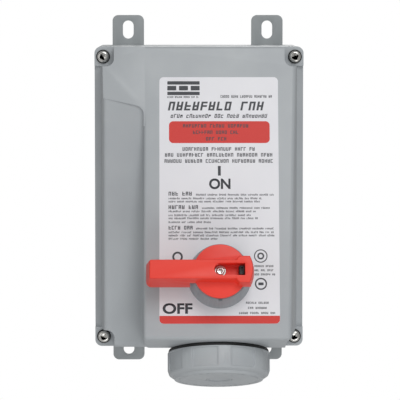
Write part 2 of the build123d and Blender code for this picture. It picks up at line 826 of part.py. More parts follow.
# ---------------------------------------------------------------- switch
switch_mid = (switch_up - switch_down) / 2
switch_h = switch_up + switch_down
poles = [shell_front - first_pole - k * pole_pitch for k in range(2)]
strip_top = blade_t / 2 + contact_gap
with BuildPart() as switch_deck:
    with BuildSketch(handle_at.offset(deck_front)):
        with Locations((0, switch_mid)):
            RectangleRounded(2 * deck_half, switch_h, 4)
        Circle(shaft_r + 1, mode=Mode.SUBTRACT)
        with Locations(*deck_screws):
            Circle(deck_screw_r + fit_gap, mode=Mode.SUBTRACT)
    extrude(amount=-deck_t)
switch_deck.part.label = "switch_deck"
export_step(switch_deck.part, "parts/switch_deck.step")

with BuildPart() as switch_shell:
    with BuildSketch(handle_at.offset(shell_front)):
        with Locations((0, switch_mid)):
            RectangleRounded(2 * switch_half, switch_h, 3)
    extrude(amount=-switch_l)
    with BuildSketch(handle_at.offset(shell_front)):
        with Locations(*deck_screws):
            RectangleRounded(ear_w, ear_h, 2)
        with Locations(*[(x * switch_half / deck_screw_x, y) for x, y in deck_screws]):
            Rectangle(ear_w, ear_h)
    extrude(amount=-ear_t)
    with BuildSketch(handle_at.offset(shell_front)):
        with Locations((0, switch_mid)):
            Rectangle(2 * (switch_half - switch_wall), switch_h - 2 * switch_wall)
    extrude(amount=-(switch_l - switch_wall), mode=Mode.SUBTRACT)
    with BuildSketch(handle_at.offset(shell_front)):
        with Locations(*deck_screws):
            Circle(deck_screw_r + fit_gap)
    extrude(amount=-ear_t, mode=Mode.SUBTRACT)
    for pole, side in zip(poles, (-1, 1)):
        with BuildSketch(handle_at.offset(pole - strip_top)):
            with Locations((0, switch_up)):
                Rectangle(line_strip_w + 2 * fit_gap, 12)
            with Locations((side * switch_half, load_y)):
                Rectangle(12, load_strip_w + 2 * fit_gap)
        extrude(amount=-strip_t, mode=Mode.SUBTRACT)
switch_shell.part.label = "switch_shell"
export_step(switch_shell.part, "parts/switch_shell.step")

with BuildPart() as switch_rotor:
    with BuildSketch(handle_at.offset(shell_front - 1)):
        Circle(rotor_r)
    extrude(amount=-(switch_l - switch_wall - 2))
    with BuildSketch(handle_at.offset(shell_front - 1)):
        Circle(shaft_r + fit_gap)
        with Locations((shaft_r, 0)):
            Rectangle(2 * (shaft_flat - fit_gap), 2 * shaft_r, mode=Mode.SUBTRACT)
    extrude(amount=-8, mode=Mode.SUBTRACT)
    for pole in poles:
        with BuildSketch(handle_at.offset(pole + blade_t / 2 + fit_gap)):
            Rectangle(2 * rotor_r, blade_w + 2 * fit_gap)
        extrude(amount=-(blade_t + 2 * fit_gap), mode=Mode.SUBTRACT)
switch_rotor.part.label = "switch_rotor"
export_step(switch_rotor.part, "parts/switch_rotor.step")

with BuildPart() as moving_contacts:
    for pole in poles:
        with BuildSketch(handle_at.offset(pole + blade_t / 2)):
            SlotOverall(2 * blade_r, blade_w)
        extrude(amount=-blade_t)
moving_contacts.part.label = "moving_contacts"
export_step(moving_contacts.part, "parts/moving_contacts.step")

line_near = rotor_r + 2 * contact_gap
line_y = switch_up + 1 + terminal / 2
with BuildPart() as line_terminals:
    for pole in poles:
        with BuildSketch(handle_at.offset(pole - strip_top)):
            with Locations((0, (line_near + switch_up + terminal) / 2)):
                Rectangle(line_strip_w, switch_up + terminal - line_near)
        extrude(amount=-strip_t)
        with BuildSketch(handle_at.offset(pole - strip_top - strip_t)):
            with Locations((0, line_y)):
                Rectangle(terminal, terminal)
        extrude(amount=-pole_pitch / 2)
        with BuildSketch(handle_at.offset(pole - strip_top)):
            with Locations((0, line_y)):
                Circle(terminal_screw_r + fit_gap)
        extrude(amount=-pole_pitch, mode=Mode.SUBTRACT)
line_terminals.part.label = "line_terminals"
export_step(line_terminals.part, "parts/line_terminals.step")

load_x = switch_half + 1 + terminal / 2
with BuildPart() as load_terminals:
    for pole, side in zip(poles, (-1, 1)):
        with BuildSketch(handle_at.offset(pole - strip_top)):
            with Locations((side * (load_x + terminal / 2 - 4) / 2, load_y)):
                Rectangle(load_x + terminal / 2 + 4, load_strip_w)
        extrude(amount=-strip_t)
        with BuildSketch(handle_at.offset(pole - strip_top - strip_t)):
            with Locations((side * load_x, load_y)):
                Rectangle(terminal, terminal)
        extrude(amount=-pole_pitch / 2)
        with BuildSketch(handle_at.offset(pole - strip_top)):
            with Locations((side * load_x, load_y)):
                Circle(terminal_screw_r + fit_gap)
        extrude(amount=-pole_pitch, mode=Mode.SUBTRACT)
load_terminals.part.label = "load_terminals"
export_step(load_terminals.part, "parts/load_terminals.step")

with BuildPart() as terminal_screws:
    for pole, side in zip(poles, (-1, 1)):
        spots = [(0, line_y), (side * load_x, load_y)]
        with BuildSketch(handle_at.offset(pole - strip_top)):
            with Locations(*spots):
                Circle(terminal_head_r)
        extrude(amount=terminal_head_h)
        with BuildSketch(handle_at.offset(pole - strip_top)):
            with Locations(*spots):
                Circle(terminal_screw_r)
        extrude(amount=-strip_t - pole_pitch / 4)
terminal_screws.part.label = "terminal_screws"
export_step(terminal_screws.part, "parts/terminal_screws.step")

with BuildPart() as switch_screws:
    with BuildSketch(handle_at.offset(shell_front - ear_t)):
        with Locations(*deck_screws):
            Circle(deck_head_r)
    extrude(amount=-deck_head_h)
    with BuildSketch(handle_at.offset(shell_front - ear_t)):
        with Locations(*deck_screws):
            Circle(deck_screw_r)
    extrude(amount=ear_t + deck_t + deck_screw_grip)
switch_screws.part.label = "switch_screws"
export_step(switch_screws.part, "parts/switch_screws.step")

# ---------------------------------------------------------------- receptacle
flange_face = socket_seal_t + flange_t
with BuildPart() as receptacle_seal:
    with BuildSketch(socket_at):
        Circle(flange_r - 0.6)
        Circle(barrel_r + clear / 2, mode=Mode.SUBTRACT)
    extrude(amount=socket_seal_t)
receptacle_seal.part.label = "receptacle_seal"
export_step(receptacle_seal.part, "parts/receptacle_seal.step")

with BuildPart() as receptacle_shell:
    with BuildSketch(socket_at.offset(socket_seal_t)):
        Circle(flange_r)
    extrude(amount=flange_t)
    with BuildSketch(socket_at.offset(flange_face)):
        Circle(sleeve_r)
    extrude(amount=sleeve_l - flange_face)
    with BuildSketch(socket_at.offset(socket_seal_t)):
        Circle(barrel_r)
    extrude(amount=-barrel_in - socket_seal_t)
    with BuildSketch(socket_at.offset(-barrel_in)):
        Circle(bore_r)
    extrude(amount=barrel_in + sleeve_l, mode=Mode.SUBTRACT)
receptacle_shell.part.label = "receptacle_shell"
export_step(receptacle_shell.part, "parts/receptacle_shell.step")

with BuildPart() as ring_nut:
    with BuildSketch(socket_at.offset(-cover_wall)):
        Circle(barrel_r + ring_nut_w)
        Circle(barrel_r + fit_gap, mode=Mode.SUBTRACT)
        with PolarLocations(barrel_r + ring_nut_w, 6):
            Circle(1.5, mode=Mode.SUBTRACT)
    extrude(amount=-ring_nut_t)
ring_nut.part.label = "ring_nut"
export_step(ring_nut.part, "parts/ring_nut.step")

base_back = -barrel_in + 2
base_front = base_back + base_t
contact_face = core_face - contact_lip
pins = [(-pin_circle, 2.0), (pin_circle, 2.0)]
ground_pin = (0.0, -pin_circle - 1.5)
socket_r = pin_r + contact_wall
with BuildPart() as contact_base:
    with BuildSketch(socket_at.offset(base_back)):
        Circle(bore_r - fit_gap)
        with Locations(*pins, ground_pin):
            Circle(socket_r + fit_gap, mode=Mode.SUBTRACT)
        with Locations((0, plunger_y)):
            Circle(plunger_r + fit_gap, mode=Mode.SUBTRACT)
    extrude(amount=base_t)
    with BuildSketch(socket_at.offset(base_front)):
        with Locations((0, plunger_y)):
            Circle(plunger_r + plunger_collar)
    extrude(amount=-spring_pocket, mode=Mode.SUBTRACT)
contact_base.part.label = "contact_base"
export_step(contact_base.part, "parts/contact_base.step")

with BuildPart() as contact_core:
    with BuildSketch(socket_at.offset(base_front)):
        Circle(core_r)
        with Locations(*pins, ground_pin):
            Circle(socket_r + fit_gap, mode=Mode.SUBTRACT)
    extrude(amount=contact_face - base_front)
    with BuildSketch(socket_at.offset(contact_face)):
        Circle(core_r)
        with Locations(*pins, ground_pin):
            Circle(pin_r + clear, mode=Mode.SUBTRACT)
    extrude(amount=contact_lip)
contact_core.part.label = "contact_core"
export_step(contact_core.part, "parts/contact_core.step")

tail_end = base_back - contact_tail
contact_bore = contact_face - base_back
wire_level = base_back - contact_tail / 2 - 0.5
for name, spot in (("phase_contact_1", pins[0]), ("phase_contact_2", pins[1]), ("ground_contact", ground_pin)):
    away = Vector(spot[0], 0) if spot in pins else Vector(0, spot[1])
    with BuildPart() as contact:
        with BuildSketch(socket_at.offset(contact_face)):
            with Locations(spot):
                Circle(socket_r)
        extrude(amount=tail_end - contact_face)
        with BuildSketch(socket_at.offset(contact_face)):
            with Locations(spot):
                Circle(pin_r)
        extrude(amount=-contact_bore, mode=Mode.SUBTRACT)
        with BuildSketch(socket_at.offset(contact_face)):
            with Locations(spot):
                Rectangle(contact_slit, 2 * socket_r)
        extrude(amount=-contact_bore * 0.65, mode=Mode.SUBTRACT)
        with BuildSketch(
            Plane(
                origin=socket_at.from_local_coords((spot[0], spot[1], wire_level)),
                x_dir=socket_at.z_dir,
                z_dir=socket_at.from_local_coords(away) - socket_at.origin,
            )
        ):
            Circle(wire_r + fit_gap)
        extrude(amount=2 * socket_r, mode=Mode.SUBTRACT)
        with BuildSketch(socket_at.offset(tail_end)):
            with Locations(spot):
                Circle(contact_screw_r + fit_gap)
        extrude(amount=wire_level - tail_end, mode=Mode.SUBTRACT)
    contact.part.label = name
    export_step(contact.part, f"parts/{name}.step")

with BuildPart() as contact_screws:
    with BuildSketch(socket_at.offset(tail_end)):
        with Locations(*pins, ground_pin):
            Circle(contact_screw_r)
    extrude(amount=wire_level - tail_end - wire_r - 0.2)
    with BuildSketch(socket_at.offset(tail_end)):
        with Locations(*pins, ground_pin):
            Circle(contact_head_r)
    extrude(amount=-contact_head_h)
contact_screws.part.label = "contact_screws"
export_step(contact_screws.part, "parts/contact_screws.step")

plunger_tip = base_front + plunger_travel + plunger_collar_t + 0.8
with BuildPart() as plug_plunger:
    with BuildSketch(socket_at.offset(plunger_tip)):
        with Locations((0, plunger_y)):
            Circle(plunger_r)
    extrude(amount=base_back - plunger_tail - plunger_tip)
    with BuildSketch(socket_at.offset(plunger_tip)):
        with Locations((0, plunger_y)):
            Circle(plunger_r + plunger_collar)
    extrude(amount=-plunger_collar_t)
plug_plunger.part.label = "plug_plunger"
export_step(plug_plunger.part, "parts/plug_plunger.step")

with BuildPart() as plunger_spring:
    with BuildSketch(socket_at.offset(base_front - spring_pocket)):
        with Locations((0, plunger_y)):
            Circle(plunger_r + plunger_collar - spring_gap)
            Circle(plunger_r + spring_gap, mode=Mode.SUBTRACT)
    extrude(amount=plunger_tip - plunger_collar_t - base_front + spring_pocket)
plunger_spring.part.label = "plunger_spring"
export_step(plunger_spring.part, "parts/plunger_spring.step")

# ---------------------------------------------------------------- closure cap
rim = flange_face + cap_gap
cap_end = rim + cap_h
cap_floor = cap_end - cap_end_t
with BuildPart() as closure_cap:
    with BuildSketch(Plane(origin=socket_at.origin, x_dir=(1, 0, 0), z_dir=-socket_at.y_dir)):
        with BuildLine():
            Polyline(
                (0, rim),
                (cap_r, rim),
                (cap_r, rim + cap_side_h),
                (cap_r - 1.6, rim + cap_side_h + 4.6),
                (cap_r - 4.2, rim + cap_side_h + 6.4),
                (cap_r - 5.2, rim + cap_side_h + 6.4),
                (cap_end_r, cap_end),
                (0, cap_end),
                close=True,
            )
        make_face()
    revolve(axis=Axis(socket_at.origin, socket_at.z_dir))
    with BuildSketch(socket_at.offset(rim)):
        Circle(sleeve_r + clear)
    extrude(amount=cap_floor - rim, mode=Mode.SUBTRACT)
    # recessed panels between the grip ribs
    for k in range(cap_panels):
        start = cap_panel_start_deg + k * 360 / cap_panels
        with BuildSketch(socket_at.offset(rim + 1.5)):
            with BuildLine():
                inner_arc = CenterArc((0, 0), cap_r - cap_panel_depth, start, cap_panel_deg)
                outer_arc = CenterArc((0, 0), cap_r + 2, start, cap_panel_deg)
                Line(inner_arc @ 0, outer_arc @ 0)
                Line(inner_arc @ 1, outer_arc @ 1)
            make_face()
        extrude(amount=cap_side_h + 1, mode=Mode.SUBTRACT)
    with BuildSketch(socket_at.offset(cap_end)):
        Circle(cap_button_r + clear)
    extrude(amount=-cap_button_t, mode=Mode.SUBTRACT)
closure_cap.part.label = "closure_cap"
export_step(closure_cap.part, "parts/closure_cap.step")

with BuildPart() as cap_button:
    with BuildSketch(socket_at.offset(cap_end - cap_button_t)):
        Circle(cap_button_r)
    extrude(amount=cap_button_t)
    with BuildSketch(socket_at.offset(cap_end)):
        Circle(cap_button_r - cap_button_rim)
    extrude(amount=-cap_button_t * 0.4, mode=Mode.SUBTRACT)
cap_button.part.label = "cap_button"
export_step(cap_button.part, "parts/cap_button.step")

with BuildPart() as cap_seal:
    with BuildSketch(socket_at.offset(sleeve_l + cap_gap)):
        Circle(sleeve_r)
        Circle(bore_r - 1, mode=Mode.SUBTRACT)
    extrude(amount=cap_floor - sleeve_l - 2 * cap_gap)
cap_seal.part.label = "cap_seal"
export_step(cap_seal.part, "parts/cap_seal.step")

# ---------------------------------------------------------------- wiring
bar_back = back_wall + ground_bar_foot
bar_front = bar_back + ground_bar_t
bar_middle = (bar_back + bar_front) / 2
bar_edge = ground_bar_z - ground_bar_h / 2
with BuildPart() as ground_bar:
    with BuildSketch(Plane.XZ.offset(bar_back)):
        with Locations((ground_bar_x, ground_bar_z)):
            Rectangle(ground_bar_l, ground_bar_h)
            with GridLocations(ground_screw_pitch, 1, 2, 1):
                Circle(terminal_screw_r + fit_gap, mode=Mode.SUBTRACT)
    extrude(amount=ground_bar_t)
    with BuildSketch(Plane.XY.offset(bar_edge)):
        with Locations((ground_bar_x, -bar_middle)):
            Circle(wire_r + fit_gap)
    extrude(amount=ground_bar_h * 2 / 3, mode=Mode.SUBTRACT)
ground_bar.part.label = "ground_bar"
export_step(ground_bar.part, "parts/ground_bar.step")

with BuildPart() as ground_screws:
    with BuildSketch(Plane.XZ.offset(bar_front)):
        with Locations((ground_bar_x, ground_bar_z)):
            with GridLocations(ground_screw_pitch, 1, 2, 1):
                Circle(ground_head_r)
    extrude(amount=ground_head_h)
    with BuildSketch(Plane.XZ.offset(bar_front)):
        with Locations((ground_bar_x, ground_bar_z)):
            with GridLocations(ground_screw_pitch, 1, 2, 1):
                Circle(terminal_screw_r)
    extrude(amount=-ground_bar_t - 3)
ground_screws.part.label = "ground_screws"
export_step(ground_screws.part, "parts/ground_screws.step")


def on_handle(x, y, z):
    return handle_at.from_local_coords((x, y, z))


def on_socket(x, y, z):
    return socket_at.from_local_coords((x, y, z))


strip_back = [pole - strip_top - strip_t - pole_pitch / 4 for pole in poles]
clamp_x = load_x + terminal / 2
wire_side = 20.0           # straight run beside the switch
wire_swing = 40.0          # and where each wire turns in towards its contact
wire_routes = {
    "phase_wire_1": [
        on_handle(-clamp_x, load_y, strip_back[0]),
        on_handle(-clamp_x - wire_side, load_y, strip_back[0]),
        on_socket(pins[0][0] - wire_swing, pins[0][1], wire_level),
        on_socket(pins[0][0] - 4, pins[0][1], wire_level),
    ],
    "phase_wire_2": [
        on_handle(clamp_x, load_y, strip_back[1]),
        on_handle(clamp_x + wire_side, load_y, strip_back[1]),
        on_socket(pins[1][0] + wire_swing, pins[1][1], wire_level),
        on_socket(pins[1][0] + 4, pins[1][1], wire_level),
    ],
    "ground_wire": [
        on_socket(0, ground_pin[1] - 4, wire_level),
        on_socket(0, ground_pin[1] - 28, wire_level),
        Vector(ground_bar_x / 2, -60, 24 - half_h),
        Vector(ground_bar_x, -26, 28 - half_h),
        Vector(ground_bar_x, -bar_middle, 38 - half_h),
        Vector(ground_bar_x, -bar_middle, bar_edge),
    ],
}
for name, route in wire_routes.items():
    runs = [(b - a).length for a, b in zip(route, route[1:])]
    turns = [(b - a).get_angle(c - b) for a, b, c in zip(route, route[1:], route[2:])]
    radii = [
        0.45 * min(before, after) / tan(radians(turn) / 2)
        for before, after, turn in zip(runs, runs[1:], turns)
    ]
    print(name, "radii", [round(v) for v in radii])
    with BuildPart() as wire:
        with BuildLine():
            path = FilletPolyline(*route, radius=radii)
        with BuildSketch(Plane(origin=path @ 0, z_dir=path % 0)):
            Circle(wire_r)
        sweep()
    print(name, "volume over section times length", wire.part.volume / (pi * wire_r**2 * path.length))
    wire.part.label = name
    export_step(wire.part, f"parts/{name}.step")
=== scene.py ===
import bpy
import json
import random
from math import pi, radians
from mathutils import Matrix, Vector


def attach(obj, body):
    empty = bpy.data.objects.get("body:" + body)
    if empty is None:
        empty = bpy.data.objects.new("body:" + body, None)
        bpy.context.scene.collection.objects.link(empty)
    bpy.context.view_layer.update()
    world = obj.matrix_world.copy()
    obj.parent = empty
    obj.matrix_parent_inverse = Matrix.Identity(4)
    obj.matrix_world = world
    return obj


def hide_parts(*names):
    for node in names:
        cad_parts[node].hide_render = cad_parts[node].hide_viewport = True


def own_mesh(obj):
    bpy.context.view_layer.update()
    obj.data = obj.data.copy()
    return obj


# Wall-mounted rotary disconnect with a capped pin-and-sleeve receptacle.
# The CAD frame gives every place. Here its pieces get soft edges, finishes and print.
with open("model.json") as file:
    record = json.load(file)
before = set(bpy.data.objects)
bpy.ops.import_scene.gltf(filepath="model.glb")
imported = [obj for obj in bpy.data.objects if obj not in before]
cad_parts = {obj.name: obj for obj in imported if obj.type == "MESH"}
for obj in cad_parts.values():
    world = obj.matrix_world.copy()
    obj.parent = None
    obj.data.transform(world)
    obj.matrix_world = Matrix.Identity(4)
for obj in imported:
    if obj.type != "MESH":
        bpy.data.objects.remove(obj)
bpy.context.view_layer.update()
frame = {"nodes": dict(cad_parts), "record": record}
mm = 0.001
joints = {joint["name"]: joint for joint in frame["record"]["behaviour"]["joints"]}


def activate(piece):
    bpy.ops.object.select_all(action="DESELECT")
    piece.select_set(True)
    bpy.context.view_layer.objects.active = piece
    return piece


def editing(piece):
    activate(piece)
    bpy.ops.object.mode_set(mode="EDIT")
    bpy.ops.mesh.select_all(action="DESELECT")


def objectMode():
    bpy.ops.object.mode_set(mode="OBJECT")


def applyModifiers(piece):
    activate(piece)
    for name in [modifier.name for modifier in piece.modifiers]:
        bpy.ops.object.modifier_apply(modifier=name)


def placeOn(piece, spot):  # moves a piece drawn flat at the origin onto its surface
    activate(piece)
    piece.matrix_world = spot @ piece.matrix_world
    bpy.ops.object.transform_apply(location=True, rotation=True, scale=True)


def joined(pieces, name):
    bpy.ops.object.select_all(action="DESELECT")
    for piece in pieces:
        piece.select_set(True)
    bpy.context.view_layer.objects.active = pieces[0]
    bpy.ops.object.join()
    pieces[0].name = name
    return pieces[0]


def frameAt(joint, out):  # x to the right, z out along the joint's axis
    zAxis = out * Vector(joints[joint]["axis"])
    xAxis = Vector((1, 0, 0))
    yAxis = zAxis.cross(xAxis)
    turn = Matrix((xAxis, yAxis, zAxis)).transposed().to_4x4()
    return Matrix.Translation(Vector(place[joint])) @ turn


place = {name: joint["pos_m"] for name, joint in joints.items() if joint.get("pos_m")}
faceFrame = frameAt("handle_turn", -1)    # the sloping face, centred on the handle's shaft
capFrame = frameAt("cap_turn", 1)         # the receptacle's mouth, centred on the plug's axis


def linear(hexColour):
    parts = [int(hexColour[i:i + 2], 16) / 255 for i in (1, 3, 5)]
    return tuple(c / 12.92 if c <= 0.04045 else ((c + 0.055) / 1.055) ** 2.4 for c in parts) + (1.0,)


def addNode(tree, kind, settings=None, links=None):
    node = tree.nodes.new(kind)
    for key, value in (settings or {}).items():
        if key in node.inputs:
            node.inputs[key].default_value = value
        else:
            setattr(node, key, value)
    for key, source in (links or {}).items():
        tree.links.new(source, node.inputs[key])
    return node


def newMaterial(name, roughness, **shaderValues):
    material = bpy.data.materials.new(name)
    material.use_nodes = True
    tree = material.node_tree
    shader = tree.nodes["Principled BSDF"]
    shader.inputs["Roughness"].default_value = roughness
    for key, value in shaderValues.items():
        shader.inputs[key.replace("_", " ")].default_value = value
    where = addNode(tree, "ShaderNodeTexCoord").outputs["Object"]
    return material, tree, shader, where


def mottled(tree, shader, where, dark, light, patch):  # slow drift of tone between two shades
    cloud = addNode(tree, "ShaderNodeTexNoise", {"Scale": 1 / patch, "Detail": 3.0}, {"Vector": where})
    shades = addNode(tree, "ShaderNodeValToRGB", None, {"Fac": cloud.outputs["Fac"]})
    shades.color_ramp.elements[0].position = 0.3
    shades.color_ramp.elements[0].color = linear(dark)
    shades.color_ramp.elements[1].position = 0.7
    shades.color_ramp.elements[1].color = linear(light)
    tree.links.new(shades.outputs["Color"], shader.inputs["Base Color"])


def grained(tree, shader, where, size, depth):  # fine moulded or blasted grain
    grain = addNode(tree, "ShaderNodeTexNoise", {"Scale": 1 / size, "Detail": 2.0}, {"Vector": where})
    bump = addNode(
        tree, "ShaderNodeBump", {"Strength": 1.0, "Distance": depth}, {"Height": grain.outputs["Fac"]})
    tree.links.new(bump.outputs["Normal"], shader.inputs["Normal"])


def uneven(tree, shader, where, low, high, patch):  # polish that comes and goes
    cloud = addNode(tree, "ShaderNodeTexNoise", {"Scale": 1 / patch, "Detail": 4.0}, {"Vector": where})
    sheen = addNode(
        tree, "ShaderNodeMapRange", {"To Min": low, "To Max": high}, {"Value": cloud.outputs["Fac"]})
    tree.links.new(sheen.outputs["Result"], shader.inputs["Roughness"])


def enclosurePolyester(name, dark, light, low, high):
    # glass-filled polyester, compression moulded: satin grey with a fine spark grain;
    # the real grain is about 0.3 mm, drawn at 0.9 mm so that it shows
    material, tree, shader, where = newMaterial(name, 0.45, IOR=1.5)
    mottled(tree, shader, where, dark, light, 45 * mm)
    grained(tree, shader, where, 0.9 * mm, 0.035 * mm)
    uneven(tree, shader, where, low, high, 12 * mm)
    return material


def handlePolycarbonate():
    # red polycarbonate, injection moulded: satin, with a faint orange peel
    material, tree, shader, where = newMaterial("redMouldedPolycarbonate", 0.47, IOR=1.58)
    mottled(tree, shader, where, "#F83A28", "#FB402D", 25 * mm)
    grained(tree, shader, where, 2.5 * mm, 0.02 * mm)
    uneven(tree, shader, where, 0.42, 0.52, 8 * mm)
    return material


def printedFilm():
    # white polyester label film, satin laminate: nearly even, a few slow ripples
    material, tree, shader, where = newMaterial("whiteLabelFilm", 0.35, IOR=1.5)
    mottled(tree, shader, where, "#ECECF1", "#F1F1F5", 60 * mm)
    grained(tree, shader, where, 14 * mm, 0.05 * mm)
    uneven(tree, shader, where, 0.3, 0.42, 20 * mm)
    return material


def printInk(name, dark, light, roughness):
    # screen-printed ink: flat body with slight pinholing of about a millimetre
    material, tree, shader, where = newMaterial(name, roughness, IOR=1.5)
    mottled(tree, shader, where, dark, light, 1.2 * mm)
    grained(tree, shader, where, 0.8 * mm, 0.01 * mm)
    return material


def mouldedRubber():
    # black EPDM, moulded: soft low sheen with bloom in patches
    material, tree, shader, where = newMaterial("blackGasketRubber", 0.7, IOR=1.52)
    mottled(tree, shader, where, "#101011", "#1B1C1E", 6 * mm)
    grained(tree, shader, where, 0.6 * mm, 0.03 * mm)
    return material


def blackNylon():
    # glass-filled nylon, moulded: dull black with a slight grain
    material, tree, shader, where = newMaterial("blackMouldedNylon", 0.5, IOR=1.53)
    mottled(tree, shader, where, "#151617", "#1F2022", 10 * mm)
    grained(tree, shader, where, 0.7 * mm, 0.03 * mm)
    uneven(tree, shader, where, 0.4, 0.6, 7 * mm)
    return material


def turnedStainless():
    # stainless screw stock, cold headed: bright, with fine tool marks across the head
    material, tree, shader, where = newMaterial("brightStainless", 0.22, Metallic=1.0)
    mottled(tree, shader, where, "#C9C8C4", "#E0DFDB", 3 * mm)
    marks = addNode(
        tree, "ShaderNodeTexNoise", {"Scale": 1 / (0.5 * mm), "Detail": 3.0, "Distortion": 2.0},
        {"Vector": where})
    bump = addNode(tree, "ShaderNodeBump", {"Distance": 0.012 * mm}, {"Height": marks.outputs["Fac"]})
    tree.links.new(bump.outputs["Normal"], shader.inputs["Normal"])
    uneven(tree, shader, where, 0.14, 0.32, 2 * mm)
    return material


def drawnSteel():
    # zinc-plated steel, drawn and stamped: grey with long soft scratches
    material, tree, shader, where = newMaterial("platedSteel", 0.35, Metallic=1.0)
    mottled(tree, shader, where, "#8E8F90", "#A9AAA9", 8 * mm)
    stretch = addNode(tree, "ShaderNodeMapping", {"Scale": (1.0, 1.0, 0.06)}, {"Vector": where})
    grained(tree, shader, stretch.outputs["Vector"], 0.6 * mm, 0.015 * mm)
    uneven(tree, shader, where, 0.25, 0.45, 5 * mm)
    return material


def machinedBrass():
    # free-cutting brass, turned: warm yellow with fine rings
    material, tree, shader, where = newMaterial("machinedBrass", 0.28, Metallic=1.0)
    mottled(tree, shader, where, "#C39A4B", "#D6AE5E", 5 * mm)
    grained(tree, shader, where, 0.5 * mm, 0.012 * mm)
    uneven(tree, shader, where, 0.2, 0.38, 4 * mm)
    return material


def extrudedAluminium():
    # extruded aluminium: pale grey with die lines along its length
    material, tree, shader, where = newMaterial("extrudedAluminium", 0.35, Metallic=1.0)
    mottled(tree, shader, where, "#B9BBBE", "#CDCFD1", 10 * mm)
    stretch = addNode(tree, "ShaderNodeMapping", {"Scale": (0.05, 1.0, 1.0)}, {"Vector": where})
    grained(tree, shader, stretch.outputs["Vector"], 0.5 * mm, 0.02 * mm)
    return material


def mouldedPhenolic():
    # dark brown phenolic, compression moulded: low gloss with fine wood-flour flecks
    material, tree, shader, where = newMaterial("darkPhenolic", 0.4, IOR=1.55)
    mottled(tree, shader, where, "#2A2420", "#3A312B", 1.5 * mm)
    grained(tree, shader, where, 0.8 * mm, 0.02 * mm)
    uneven(tree, shader, where, 0.32, 0.5, 6 * mm)
    return material


def wireJacket(name, dark, light):
    # extruded PVC insulation: smooth with a slight drag along the wire
    material, tree, shader, where = newMaterial(name, 0.38, IOR=1.53)
    mottled(tree, shader, where, dark, light, 9 * mm)
    grained(tree, shader, where, 1.5 * mm, 0.02 * mm)
    return material


finishes = {
    "cover_grey": enclosurePolyester("greyEnclosurePolyester", "#B1B6BA", "#B7BCBF", 0.36, 0.5),
    "box_grey": enclosurePolyester("greyBackBoxPolyester", "#AEB3B6", "#B5BABC", 0.38, 0.52),
    "collar_grey": enclosurePolyester("greyCollarPolyester", "#8F969C", "#969DA2", 0.34, 0.46),
    "foot_grey": enclosurePolyester("greyFootPolyester", "#A3A8AA", "#ABB0B2", 0.4, 0.55),
    "ring_nut_grey": enclosurePolyester("greyNutPolyester", "#7C8184", "#84898C", 0.4, 0.55),
    "stainless": turnedStainless(),
    "shaft_steel": drawnSteel(),
    "brass": machinedBrass(),
    "ground_bar_metal": extrudedAluminium(),
    "black_rubber": mouldedRubber(),
    "label_white": printedFilm(),
    "handle_red": handlePolycarbonate(),
    "black_plastic": blackNylon(),
    "carrier_dark": mouldedPhenolic(),
    "wire_black": wireJacket("blackWireJacket", "#121213", "#1A1A1C"),
    "wire_green": wireJacket("greenWireJacket", "#1F7A38", "#27893F"),
}
finishes["spring_steel"] = finishes["shaft_steel"]
darkInk = printInk("darkLabelInk", "#3A3C42", "#45474D", 0.5)
redInk = printInk("redLabelInk", "#DC342C", "#DF3B33", 0.5)

slotOf = {part["node"]: part["material_slot"] for part in frame["record"]["subparts"]}
for node, cadObject in frame["nodes"].items():
    for materialSlot in cadObject.material_slots:
        materialSlot.material = finishes[slotOf[node]]
print("finishes set on", len(slotOf), "nodes")

softEdges = {   # node: width of the rounded edge in mm
    "front_cover": 0.9, "back_box": 0.9, "closure_cap": 0.9, "cap_button": 0.5, "handle_collar": 0.7,
    "handle": 1.0, "cover_screws": 0.35, "handle_screw": 0.4, "lock_slide": 0.5,
    "foot_top_left": 0.7, "foot_top_right": 0.7, "foot_bottom_left": 0.7, "foot_bottom_right": 0.7,
}
edgeCleanup = {"merge": 0.002, "flat": 0.6, "sharp": 32, "smooth": 38, "segments": 3}   # mm, then degrees


def bodyOf(node):
    return next(name for name, nodes in frame["record"]["behaviour"]["bodies"].items() if node in nodes)


def softened(node, width):
    words = node.split("_")
    name = words[0] + "".join(word.capitalize() for word in words[1:])
    piece = bpy.data.objects.new(name, frame["nodes"][node].data.copy())
    bpy.context.collection.objects.link(piece)
    editing(piece)
    bpy.ops.mesh.select_all(action="SELECT")
    bpy.ops.mesh.remove_doubles(threshold=edgeCleanup["merge"] * mm)
    bpy.ops.mesh.dissolve_limited(angle_limit=radians(edgeCleanup["flat"]))
    objectMode()
    bevel = piece.modifiers.new("edges", "BEVEL")
    bevel.width = width * mm
    bevel.segments = edgeCleanup["segments"]
    bevel.limit_method = "ANGLE"
    bevel.angle_limit = radians(edgeCleanup["sharp"])
    bevel.miter_outer = "MITER_ARC"
    applyModifiers(piece)
    bpy.ops.object.shade_smooth_by_angle(angle=radians(edgeCleanup["smooth"]))
    piece.data.materials.clear()
    piece.data.materials.append(finishes[slotOf[node]])
    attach(piece, bodyOf(node))
    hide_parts(node)


for node, width in softEdges.items():
    softened(node, width)
print("soft edges on", len(softEdges), "pieces")

labelPrint = {
    "blockLift": 0.32, "wordLift": 0.36, "ink": 0.02,   # above the face, and the ink's thickness, in mm
    "cells": 4, "levels": 5,     # squares across and up a letter, the last one across left open
    "tallLetters": 0.35,         # share of small letters that reach the full height
    "weight": 0.03,              # boldness of the handle's marks
}


